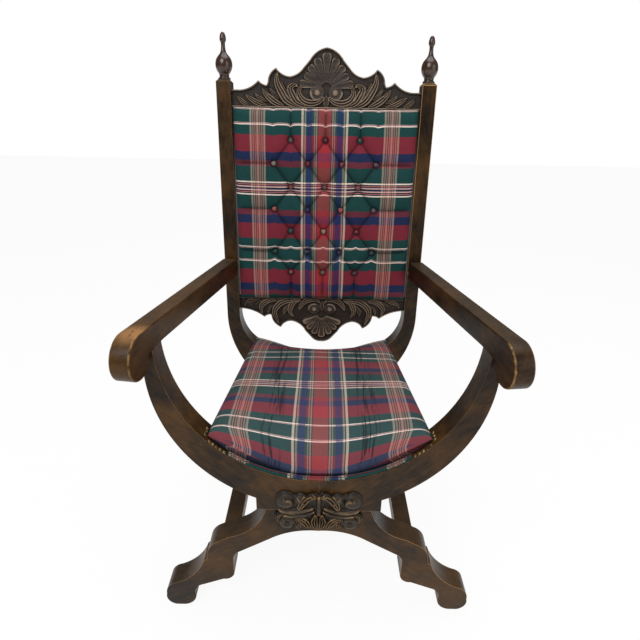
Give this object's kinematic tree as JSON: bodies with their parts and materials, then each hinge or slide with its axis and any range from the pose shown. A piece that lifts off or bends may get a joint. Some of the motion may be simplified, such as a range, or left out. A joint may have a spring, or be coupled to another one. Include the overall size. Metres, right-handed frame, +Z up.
{
  "type": "savonarola armchair",
  "caption": "Throne-backed armchair on a cross frame: crescent front arch with scrolled arms, raked posts with finials, carved crest and rails, button-tufted back and sling seat in tartan.",
  "frame": {"origin": "on the floor, under the middle of the chair's outer box", "axes": "+X across the chair to the right of someone who faces it, +Y from front to back, +Z up"},
  "size_m": [0.658, 0.6528, 1.1476],
  "materials": {
    "stained_wood": "dark stained and waxed, worn lighter along the edges",
    "carved_wood": "dark stained carving, rubbed high spots",
    "turned_wood": "dark glossy turned wood",
    "inner_wood": "plain unfinished hardwood",
    "tartan_cloth": "woven twill tartan in green, dark red, navy and cream",
    "button_cloth": "covered buttons in the same cloth",
    "dark_lining": "plain black lining cloth",
    "jute_webbing": "woven jute strap",
    "brass_nails": "aged brass"
  },
  "bodies": {
    "root": {"front_arch_left": "stained_wood", "front_arch_right": "stained_wood", "front_leg_left": "stained_wood", "front_leg_right": "stained_wood", "rear_arch_left": "stained_wood", "rear_arch_right": "stained_wood", "rear_post_left": "stained_wood", "rear_post_right": "stained_wood", "rear_leg_left": "stained_wood", "rear_leg_right": "stained_wood", "arm_left": "stained_wood", "arm_right": "stained_wood", "side_stretcher_left": "stained_wood", "side_stretcher_right": "stained_wood", "finial_left": "turned_wood", "seat_rail_left": "inner_wood", "back_stile_left": "inner_wood", "seat_side_panel_left": "tartan_cloth", "finial_right": "turned_wood", "seat_rail_right": "inner_wood", "back_stile_right": "inner_wood", "seat_side_panel_right": "tartan_cloth", "crest_rail": "carved_wood", "lower_back_rail": "carved_wood", "front_boss_carving": "carved_wood", "back_frame_top_rail": "inner_wood", "back_frame_bottom_rail": "inner_wood", "front_frame_dowels": "inner_wood", "rear_frame_dowels": "inner_wood", "arm_dowels": "inner_wood", "stretcher_dowels": "inner_wood", "seat_rail_dowels": "inner_wood", "back_pad": "tartan_cloth", "seat_pad": "tartan_cloth", "seat_front_welt": "tartan_cloth", "back_tuft_buttons": "button_cloth", "outside_back_cover": "dark_lining", "seat_dust_cover": "dark_lining", "back_webbing": "jute_webbing", "seat_webbing": "jute_webbing", "seat_nails_front": "brass_nails", "seat_nails_rear": "brass_nails", "seat_nails_side": "brass_nails"}
  },
  "joints": []
}
